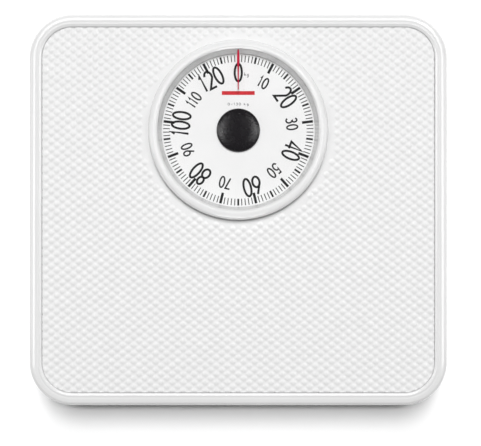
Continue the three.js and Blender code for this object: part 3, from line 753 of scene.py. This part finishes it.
def lettering(build, text, bearing, radius, height, width, line, gap):
    """Adds a short text with its middle at a radius and a clockwise bearing, tops facing out."""
    widths = [width * NARROW.get(letter, 1.0) for letter in text]
    total = sum(widths) + gap * (len(text) - 1)
    up = Vector((math.sin(bearing), math.cos(bearing)))
    right = Vector((math.cos(bearing), -math.sin(bearing)))
    middle = Vector(DIAL_AXIS) + up * radius
    left = -total / 2
    for letter, letter_width in zip(text, widths):
        for points, closed in GLYPHS.get(letter, ()):
            placed = []
            for u, v in points:
                across = left + line / 2 + u * (letter_width - line)
                above = (v - 0.5) * (height - line)
                placed.append(tuple(middle + right * across + up * above))
            build.add(*stroke(placed, line, closed))
        left += letter_width + gap


def scale_marks(build):
    for kilogram in range(CAPACITY):
        length, width = next((l, w) for every, l, w in MARKS if kilogram % every == 0)
        bearing = 2 * math.pi * kilogram / CAPACITY
        out = Vector((math.sin(bearing), math.cos(bearing)))
        middle = Vector(DIAL_AXIS)
        ends = [middle + out * (MARK_OUTER - length), middle + out * MARK_OUTER]
        build.add(*stroke([tuple(end) for end in ends], width))


def dial_printing():
    """The marks and numbers in black, the unit sign and range line in grey, and the red bar."""
    black = Build()
    scale_marks(black)
    for kilogram in range(0, CAPACITY, 10):
        style = LARGE_NUMBER if kilogram % 20 == 0 else SMALL_NUMBER
        lettering(black, str(kilogram), 2 * math.pi * kilogram / CAPACITY, **style)
    small = Build()
    lettering(small, "kg", math.radians(8.5), **UNIT_SIGN)
    lettering(small, "0-130 kg", 0.0, **RANGE_LINE)
    height = BAR["radius"] + DIAL_Y
    ends = [(-BAR["half_length"], height), (BAR["half_length"], height)]
    bar = Build().add(*stroke(ends, BAR["width"]))
    for name, build, ink in (
        ("dial_scale_print", black, INK),
        ("dial_unit_print", small, GREY_INK),
        ("dial_bar_print", bar, RED_INK),
    ):
        add_piece(name, build.verts, build.faces, ink, "dial", "dial_face", sharp=30)


# ---- Base and feet ------------------------------------------------------------------------------

def cut_out(piece, cutter_verts, cutter_faces):
    """Cuts a shape out of a piece and applies the result."""
    cutter = add_piece("cutter", cutter_verts, cutter_faces, BASE_ENAMEL, None, None)
    modifier = piece.modifiers.new("cut", "BOOLEAN")
    modifier.operation = "DIFFERENCE"
    modifier.object = cutter
    modifier.solver = "EXACT"
    with bpy.context.temp_override(object=piece, active_object=piece):
        bpy.ops.object.modifier_apply(modifier=modifier.name)
    bpy.data.objects.remove(cutter)


def base_tray():
    """The pressed pan with rounded lower edges, a hemmed top and the thumbwheel's window."""
    low, high = TRAY_LOW.z, TRAY_HIGH.z
    outside = [
        (4.6, low), (3.2, low + 0.12), (1.7, low + 0.7), (0.7, low + 1.7), (0.12, low + 3.2),
        (0, low + 4.6),
    ]
    top = [
        (0.0, high - 0.4), (0.2, high - 0.05), (SHEET / 2, high), (SHEET - 0.1, high - 0.1),
        (SHEET, high - 0.5),
    ]
    inside = [
        (SHEET, low + 5), (SHEET + 0.15, low + 3), (SHEET + 0.6, low + 1.9), (2.6, low + 1.35),
        (4.6, low + SHEET),
    ]
    rings = [
        rounded_ring(TRAY_HIGH.x, TRAY_HIGH.y, TRAY_RADIUS, inset, z)
        for inset, z in [*outside, *top, *inside]
    ]
    verts, faces = joined_rings(rings, closed=False)
    count = len(rings[0])
    faces.append(tuple(range(count - 1, -1, -1)))
    faces.append(tuple(range(len(verts) - count, len(verts))))
    tray = add_piece("base_pressing", verts, faces, BASE_ENAMEL, "base", "base_enamel",
                     ["base_tray"], sharp=50)
    wheel_low, wheel_high = box_mm("zero_wheel")
    window_half = 11.5
    window = block(
        (-window_half, window_half),
        (TRAY_HIGH.y - 4, TRAY_HIGH.y + 2),
        (wheel_low.z - 0.6, wheel_high.z + 1),
    )
    cut_out(tray, *window)


def feet():
    """Four grommet feet: a tapered pad with rings under it, a neck through the tray and a head."""
    for end in ("front", "rear"):
        for side in ("left", "right"):
            node = f"foot_{end}_{side}"
            low, high = box_mm(node)
            center = ((low.x + high.x) / 2, (low.y + high.y) / 2)
            pad = [
                (0, 0.6), (3.0, 0.6), (3.3, 0.0), (5.2, 0.0), (5.5, 0.6), (7.2, 0.6), (7.5, 0.0),
                (9.8, 0.0), (10.9, 0.35), (11.7, 1.1), (12.0, 2.0), (11.7, 3.6), (11.1, 4.6),
                (10.4, 5.0), (4.0, 5.0), (4.0, 6.8), (6.2, 6.8), (6.2, 7.2), (5.4, 8.4),
                (4.6, high.z), (0, high.z),
            ]
            add_piece(f"{node}_rubber", *turned(pad, center, 64), RUBBER, "base",
                      "foot_rubber", [node])


# ---- Zero adjuster ------------------------------------------------------------------------------

def zero_wheel():
    """The thumbwheel, with fine grooves round its rim."""
    low, high = box_mm("zero_wheel")
    center = ((low.x + high.x) / 2, (low.y + high.y) / 2)
    outer = (high.x - low.x) / 2
    grooves, groove_depth, rim = 48, 0.32, 1.5

    def knurl(radius, angle):
        if radius < outer - rim:
            return radius
        return radius - groove_depth * (0.5 + 0.5 * math.cos(grooves * angle)) ** 2

    profile = [
        (2.7, low.z), (5.0, low.z), (5.3, low.z + 0.5), (8.6, low.z + 0.5), (9.0, low.z),
        (outer - 0.6, low.z), (outer, low.z + 0.6), (outer, high.z - 0.6), (outer - 0.6, high.z),
        (9.0, high.z), (8.6, high.z - 0.5), (5.3, high.z - 0.5), (5.0, high.z), (2.7, high.z),
    ]
    add_piece("zero_thumbwheel", *turned(profile, center, grooves * 6, knurl), NYLON,
              "zero_wheel", "black_nylon", ["zero_wheel"])


def adjusting_screw():
    """The screw, with a rolled thread along its length."""
    low, high = box_mm("adjusting_screw")
    center = ((low.x + high.x) / 2, (low.y + high.y) / 2)
    outer = (high.x - low.x) / 2
    pitch, depth, segments, per_turn = 0.8, 0.4, 24, 6
    rows = int((high.z - low.z) / pitch * per_turn)
    verts = []
    for row in range(rows + 1):
        z = low.z + (high.z - low.z) * row / rows
        end = min(z - low.z, high.z - z)
        for k in range(segments):
            turn = k / segments
            phase = ((z - low.z) / pitch - turn) % 1.0
            radius = outer - depth * abs(2 * phase - 1) - max(0.0, 0.5 - end) * 0.8
            angle = 2 * math.pi * turn
            x = center[0] + radius * math.cos(angle)
            y = center[1] + radius * math.sin(angle)
            verts.append((x, y, z))
    faces = [tuple(range(segments - 1, -1, -1)), tuple(range(len(verts) - segments, len(verts)))]
    for row in range(rows):
        for k in range(segments):
            a, b = row * segments + k, row * segments + (k + 1) % segments
            faces.append((a, b, b + segments, a + segments))
    add_piece("adjusting_screw_thread", verts, faces, PIN_STEEL, "zero_wheel", "pin_steel",
              ["adjusting_screw"])


# ---- Springs ------------------------------------------------------------------------------------

def coil_path(start, end, radius, turns, hook):
    """(along, u, v) points of a close-wound coil, with a hooked loop past each end."""
    loop = [math.radians(a) for a in range(-150, 91, 20)]
    hooks = [(hook * (math.sin(-a) - 1) * 0.5, radius * 0.6 * math.cos(a)) for a in loop]
    path = [(start + hook + past, u, 0) for past, u in hooks]
    steps = int(turns * 16)
    for i in range(steps + 1):
        angle = 2 * math.pi * turns * i / steps
        along = start + hook + (end - start - 2 * hook) * i / steps
        path.append((along, radius * math.cos(angle), radius * math.sin(angle)))
    path.extend((end - hook - past, u, 0) for past, u in reversed(hooks))
    return path


def coil_spring(node, axis, coil, wire, sides):
    """A spring along axis 1 or 2 of its node's box, reaching the bodies at its ends but riding on
    neither.
    `coil` is its radius, its turns and the length of a hook."""
    low, high = box_mm(node)
    middle = [(a + b) / 2 for a, b in zip(low, high)]

    def point(along, u, v):
        place = [middle[0] + u, middle[1] + v, middle[2] + v]
        place[axis] = along
        return tuple(place)

    path = [point(*step) for step in coil_path(low[axis], high[axis], *coil)]
    piece = add_piece(f"{node}_coil", *tube_along(path, wire, sides), SPRING_WIRE, None,
                      "spring_wire", sharp=60)
    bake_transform(piece)
    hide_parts(node)


def springs():
    for side in ("left", "right"):
        coil_spring(f"main_spring_{side}", 2, (4.3, 6.0, 1.4), 0.75, 10)
    for side in ("left", "right"):
        coil_spring(f"hold_down_spring_{side}", 2, (2.7, 14.0, 1.6), 0.45, 8)
    coil_spring("rack_spring", 1, (1.45, 12.0, 0.9), 0.25, 8)


# ---- CAD nodes that keep their own shape --------------------------------------------------------

SLOT_MATERIALS = {
    "bracket_steel": STRIP_STEEL,
    "lever_steel": LEVER_STEEL,
    "pin_steel": PIN_STEEL,
    "brass": BRASS,
    "black_nylon": NYLON,
    "spring_wire": SPRING_WIRE,
}


def finish_cad_nodes():
    """Gives each CAD node that is shown the material of its slot."""
    for entry in frame["record"]["subparts"]:
        material = SLOT_MATERIALS.get(entry["material_slot"])
        node = frame["nodes"][entry["node"]]
        if material is None:
            continue
        if not node.data.materials:
            node.data.materials.append(material)
        for slot in node.material_slots:
            slot.material = material


# ---- Floor and light ----------------------------------------------------------------------------

FLOOR_HALF = 4000.0  # millimetres
REAR_LIGHT_AWAY = 10.0  # metres, as all the lights' places and sizes
REAR_LIGHT_WIDTH = 2.4
WORLD_STRENGTH = 0.05


def studio_floor():
    floor = Surface("studio_floor", grey(0.93), 0.9)
    floor.tint(floor.noise(300), grey(0.925), grey(0.935))
    half = FLOOR_HALF
    verts = [(-half, -half, 0), (half, -half, 0), (half, half, 0), (-half, half, 0)]
    plane = add_piece("studio_floor", verts, [(0, 1, 2, 3)], floor.material, None, None)
    return plane


def area_light(name, location, size, power, glossy=True):
    """A soft box that faces the middle of the platform."""
    data = bpy.data.lights.new(name, "AREA")
    data.shape = "RECTANGLE"
    data.size, data.size_y = size
    data.energy = power
    light = bpy.data.objects.new(name, data)
    light.location = location
    aim = Vector((0.0, 0.0, 0.04)) - Vector(location)
    light.rotation_euler = aim.to_track_quat("-Z", "Y").to_euler()
    light.visible_glossy = glossy
    bpy.context.scene.collection.objects.link(light)
    return light


def rear_light(name, low_tilt, high_tilt, power):
    """A far soft box behind the object, between two tilts from the vertical in degrees."""
    low = math.tan(math.radians(low_tilt))
    high = math.tan(math.radians(high_tilt))
    middle = math.radians((low_tilt + high_tilt) / 2)
    length = REAR_LIGHT_AWAY * math.cos(middle) * (high - low) * math.cos(middle)
    location = (0.0, REAR_LIGHT_AWAY * math.sin(middle), REAR_LIGHT_AWAY * math.cos(middle))
    return area_light(name, location, (REAR_LIGHT_WIDTH, length), power, glossy=False)


def link_light(light, state, *pieces):
    """INCLUDE gives the light to these pieces alone, EXCLUDE to everything but them."""
    receivers = bpy.data.collections.new(f"{light.name}_receivers")
    for place, piece in enumerate(pieces):
        receivers.objects.link(piece)
        receivers.collection_objects[place].light_linking.link_state = state
    light.light_linking.receiver_collection = receivers


def studio_world():
    world = bpy.data.worlds.new("studio")
    bpy.context.scene.world = world
    world.use_nodes = True
    background = world.node_tree.nodes["Background"]
    background.inputs["Color"].default_value = (1.0, 1.0, 1.0, 1.0)
    background.inputs["Strength"].default_value = WORLD_STRENGTH


def studio_lights(floor, pressing, mat, ring, cap):
    """Far boxes at the rear make the light and the front shadow, thin strips the lines of gloss
    along the rims, and low boxes the fill that white surroundings would give."""
    rear_light("rear_high", 11, 15.5, 400.0)
    rear_light("rear_middle", 17, 32, 490.0)
    link_light(rear_light("rear_low", 35, 50, 200.0), "INCLUDE", floor)
    for side, sign in (("left", -1), ("right", 1)):
        area_light(f"{side}_strip", (sign * 0.95, 0.28, 1.9), (1.6, 0.3), 5.5)
    rear_strip = area_light("rear_strip", (0.1, 0.95, 1.9), (1.6, 0.3), 5.5)
    link_light(rear_strip, "INCLUDE", pressing, mat, ring)
    front_low = area_light("front_low", (0.0, -3.0, 0.85), (2.0, 1.2), 34.0)
    link_light(front_low, "INCLUDE", ring)
    for side, sign in (("left", -1), ("right", 1)):
        for_cap = area_light(f"cap_{side}", (sign * 1.55, 0.28, 1.55), (0.8, 2.2), 14.0)
        link_light(for_cap, "INCLUDE", cap)
    for side, sign in (("left", -1), ("right", 1)):
        low = area_light(f"{side}_low", (sign * 3.0, 0.1, 1.1), (1.2, 2.0), 9.0)
        link_light(low, "EXCLUDE", floor)


# ---- Everything ---------------------------------------------------------------------------------

bpy.context.scene.view_settings.view_transform = "Standard"
make_camera()
pressing = platform()
mat = pebbled_mat()
ring = bezel()
lens()
pointer()
dial_disc()
cap = hub_cap()
dial_printing()
base_tray()
feet()
zero_wheel()
adjusting_screw()
springs()
finish_cad_nodes()
studio_world()
studio_lights(studio_floor(), pressing, mat, ring, cap)
